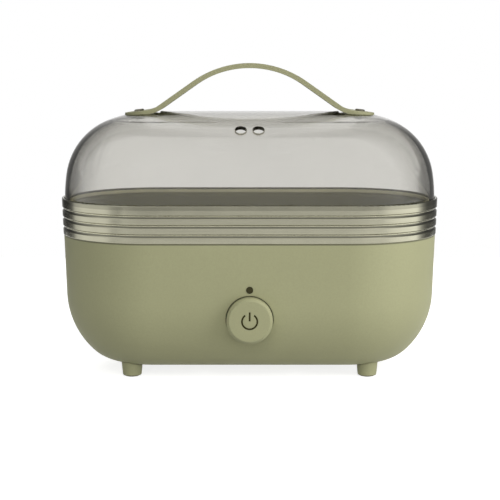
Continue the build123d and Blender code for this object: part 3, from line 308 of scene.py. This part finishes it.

# The casing gets painted shade in its corners and gaps.
casing = plastic("sage_plastic", sage, rough=0.58, painted_shade_reach=0.0012)
# The band gets painted shade in its groove roots, then a painted highlight on the groove flanks.
band = banded(metal("satin_band", satin, rough=0.15), shade(satin, 0.45), painted_root_shade)
band = banded(band, shade(satin, 2.2), painted_flank_highlight)
# The tray's tone is its own olive colour made darker by painted shade.
tray = plastic("sage_tray", (0.115, 0.11, 0.05), rough=0.55)
looks = {
    # The casing carries the painted shadow line under the band.
    "sage_plastic": banded(casing, shade(sage, 0.4), painted_band_shadow),
    "sage_strap": plastic("sage_strap", (0.315, 0.31, 0.18), rough=0.55, grain=500.0, depth=0.00003),
    "satin_band": banded(band, shade(satin, 0.74), lip),
    "smoked_lid": smoked("smoked_lid"),
    # The tray's rim carries a painted highlight.
    "sage_tray": banded(tray, (0.46, 0.44, 0.29), painted_rim_highlight),
    "dark_mark": plastic("dark_mark", marking, rough=0.6, wear=0.03, radius=0.0001, level=0.1),
    "dark_lens": lens("dark_lens", marking, (0.042, 0.038, 0.012)),
    "dark_metal": metal("dark_metal", (0.16, 0.15, 0.11), rough=0.35, stretch=(200.0, 200.0, 200.0)),
    "pan_steel": metal("pan_steel", (0.62, 0.62, 0.61), rough=0.28, stretch=(5.0, 700.0, 700.0)),
    "cast_aluminium": metal("cast_aluminium", (0.6, 0.6, 0.6), rough=0.5, stretch=(150.0, 150.0, 150.0)),
    "element_sheath": metal("element_sheath", (0.3, 0.28, 0.26), rough=0.42, stretch=(20.0, 300.0, 300.0)),
    "zinc_screws": metal("zinc_screws", (0.62, 0.62, 0.64), rough=0.3, stretch=(250.0, 250.0, 250.0)),
    "soft_pad": rubber("soft_pad", (0.16, 0.16, 0.115)),
    "silicone_seal": rubber("silicone_seal", (0.7, 0.69, 0.64), rough=0.6),
    "black_plastic": plastic("black_plastic", (0.022, 0.022, 0.022), rough=0.45, wear=0.12),
    "white_plastic": plastic("white_plastic", (0.68, 0.67, 0.62), rough=0.45, wear=0.1),
    "cover_plastic": plastic("cover_plastic", (0.3, 0.3, 0.175), rough=0.6, grain=600.0, depth=0.00004),
    "board_green": plastic("board_green", (0.02, 0.14, 0.055), rough=0.35, wear=0.1),
    "lamp_red": plastic("lamp_red", (0.45, 0.035, 0.025), rough=0.2, wear=0.0),
    "wire_black": plastic("wire_black", (0.018, 0.018, 0.018), rough=0.4, wear=0.0),
    "wire_red": plastic("wire_red", (0.4, 0.025, 0.018), rough=0.4, wear=0.0),
    "wire_blue": plastic("wire_blue", (0.025, 0.08, 0.36), rough=0.4, wear=0.0),
}
for row in frame["record"]["subparts"]:
    piece = nodes[row["node"]]
    piece.data.materials.clear()
    piece.data.materials.append(looks[row["material_slot"]])


# Stage: a pale floor in surroundings that the camera sees as plain white. Gloss and glass see them brighter or darker
# by bearing, and matt surfaces see them dim, so that the lamps do the lighting.
floor_corners = [(-0.45, -0.6, 0), (0.45, -0.6, 0), (0.45, 0.45, 0), (-0.45, 0.45, 0)]
floor_shine = 0.8
dim_level = 0.08


def seen(tree):
    """1 for rays from the camera, mirrors and glass, 0 for those that light the part."""
    path = tree.nodes.new("ShaderNodeLightPath")
    either = maths(tree, "MAXIMUM", path.outputs["Is Camera Ray"], path.outputs["Is Glossy Ray"])
    return maths(tree, "MAXIMUM", either, path.outputs["Is Transmission Ray"])


floor_mesh = bpy.data.meshes.new("floor")
floor_mesh.from_pydata(floor_corners, [], [(0, 1, 2, 3)])
floor = bpy.data.objects.new("floor", floor_mesh)
scene.collection.objects.link(floor)
floor_mat = bpy.data.materials.new("floor_white")
floor_mat.use_nodes = True
tree = floor_mat.node_tree
tree.nodes.clear()
floor_out = tree.nodes.new("ShaderNodeOutputMaterial")
floor_matt = tree.nodes.new("ShaderNodeBsdfDiffuse")
floor_matt.inputs["Color"].default_value = (0.62, 0.62, 0.61, 1)
floor_glow = tree.nodes.new("ShaderNodeEmission")
floor_glow.inputs["Color"].default_value = (1, 1, 1, 1)
tree.links.new(times(tree, seen(tree), floor_shine), floor_glow.inputs["Strength"])
floor_sum = tree.nodes.new("ShaderNodeAddShader")
tree.links.new(floor_matt.outputs["BSDF"], floor_sum.inputs[0])
tree.links.new(floor_glow.outputs["Emission"], floor_sum.inputs[1])
tree.links.new(floor_sum.outputs["Shader"], floor_out.inputs["Surface"])
floor_mesh.materials.append(floor_mat)

# Brightness of the surroundings by bearing, in degrees from straight behind, positive to the right: just below the
# horizon, where the band and the clear lid show them, and above it, where the lid mirrors them. Lower down is white.
low_ring = [
    (-180, 0.89), (-177, 0.8), (-170, 0.77), (-158, 0.76), (-145, 0.78), (-138, 0.82), (-130, 1.05), (-122, 1.58),
    (-114, 1.71), (-106, 1.65), (-88, 1.68), (-84, 1.68), (-79, 1.48), (-72, 1.28), (-68, 1.15), (-65, 0.78),
    (-61, 0.27), (-57, 0.18), (-50, 0.07), (-32, 0.06), (-27, 0.12), (-20, 0.25), (-12, 0.5), (-8, 1.0), (11, 1.0),
    (13, 0.5), (20, 0.3), (27, 0.15), (35, 0.12), (48, 0.17), (60, 0.18), (67, 0.38), (71, 0.6), (74, 0.95),
    (78, 1.4), (81, 2.0), (84, 2.22), (90, 2.3), (108, 2.2), (116, 2.1), (124, 1.95), (132, 1.63), (139, 1.22),
    (147, 0.86), (160, 0.99), (174, 1.03), (177, 0.99), (180, 0.89),
]
high_ring = [
    (-180, 1.2), (-150, 1.15), (-125, 1.2), (-105, 1.35), (-80, 1.35), (-66, 0.5), (-45, 0.08), (-27, 0.14),
    (-20, 0.28), (-12, 0.5), (-8, 1.0), (11, 1.0), (13, 0.5), (20, 0.3), (27, 0.15), (40, 0.12), (65, 0.3), (90, 0.9),
    (110, 1.7), (140, 1.45), (180, 1.2),
]
top_level = 3.0
horizon = (-0.085, -0.055)
white_below = (-0.28, -0.22)
world = bpy.data.worlds.new("studio")
scene.world = world
world.use_nodes = True
tree = world.node_tree
tree.nodes.clear()
world_out = tree.nodes.new("ShaderNodeOutputWorld")
sky = tree.nodes.new("ShaderNodeBackground")
sky.inputs["Color"].default_value = (1, 1, 1, 1)
x, y, z = axes(tree, tree.nodes.new("ShaderNodeTexCoord").outputs["Generated"])
share = spread(tree, maths(tree, "ARCTAN2", x, y), 0.0, 1.0, -math.pi, math.pi)
rings = tree.nodes.new("ShaderNodeMix")
tree.links.new(spread(tree, z, 0.0, 1.0, *horizon), rings.inputs[0])
for socket, stops in ((rings.inputs[2], low_ring), (rings.inputs[3], high_ring)):
    ring = tree.nodes.new("ShaderNodeFloatCurve")
    tree.links.new(share, ring.inputs["Value"])
    curve = ring.mapping.curves[0]
    while len(curve.points) < len(stops):
        curve.points.new(0.5, 0.5)
    for point, (angle, bright) in zip(curve.points, stops):
        point.location = ((angle + 180) / 360, bright / top_level)
        point.handle_type = "VECTOR"
    ring.mapping.update()
    tree.links.new(ring.outputs["Value"], socket)
lower = tree.nodes.new("ShaderNodeMix")
tree.links.new(spread(tree, z, 1.0, 0.0, *white_below), lower.inputs[0])
tree.links.new(times(tree, rings.outputs[0], top_level), lower.inputs[2])
lower.inputs[3].default_value = 1.0
path = tree.nodes.new("ShaderNodeLightPath")
shown = tree.nodes.new("ShaderNodeMix")
tree.links.new(path.outputs["Is Camera Ray"], shown.inputs[0])
tree.links.new(lower.outputs[0], shown.inputs[2])
shown.inputs[3].default_value = 1.0
level = tree.nodes.new("ShaderNodeMix")
tree.links.new(seen(tree), level.inputs[0])
level.inputs[2].default_value = dim_level
tree.links.new(shown.outputs[0], level.inputs[3])
tree.links.new(level.outputs[0], sky.inputs["Strength"])
tree.links.new(sky.outputs["Background"], world_out.inputs["Surface"])


def softbox(name, place, aim, width, height, radiance):
    """Rectangular lamp of a given brightness, aimed at a point, that gloss and glass don't show."""
    lamp = bpy.data.lights.new(name, "AREA")
    lamp.shape = "RECTANGLE"
    lamp.size = width
    lamp.size_y = height
    lamp.energy = radiance * math.pi * width * height
    made = bpy.data.objects.new(name, lamp)
    made.location = place
    made.rotation_euler = (Vector(aim) - Vector(place)).to_track_quat("-Z", "Y").to_euler()
    made.visible_glossy = False
    made.visible_transmission = False
    scene.collection.objects.link(made)


def bearing(turn, reach, height):
    """Point at a bearing from the front, positive to the right."""
    return (reach * math.sin(math.radians(turn)), -reach * math.cos(math.radians(turn)), height)


softbox("key_right", bearing(64, 1.0, 0.42), (0, 0, 0.09), 0.85, 1.3, 3.15)
softbox("front_fill", (-0.12, -1.6, 1.0), (0, 0, 0.1), 1.5, 1.5, 2.85)
softbox("rear_fill", (0, 1.5, 1.0), (0, 0, 0.1), 0.35, 1.4, 9.0)

# Camera: fitted to the outlines of the band, lid, feet and strap in the photograph.
frame_pixels = 500
lens_pixels = 1293.5
middle_pixel = 249.62
look_down = 8.349
sensor_width = 36.0
camera_data = bpy.data.cameras.new("camera")
camera_data.sensor_fit = "HORIZONTAL"
camera_data.sensor_width = sensor_width
camera_data.lens = lens_pixels / frame_pixels * sensor_width
camera_data.shift_x = (frame_pixels / 2 - middle_pixel) / frame_pixels
camera_data.clip_start = 0.01
camera = bpy.data.objects.new("camera", camera_data)
camera.location = (0, -0.800, 0.19155)
camera.rotation_euler = (math.radians(90 - look_down), 0, 0)
scene.collection.objects.link(camera)
scene.camera = camera

scene.view_settings.view_transform = "Standard"
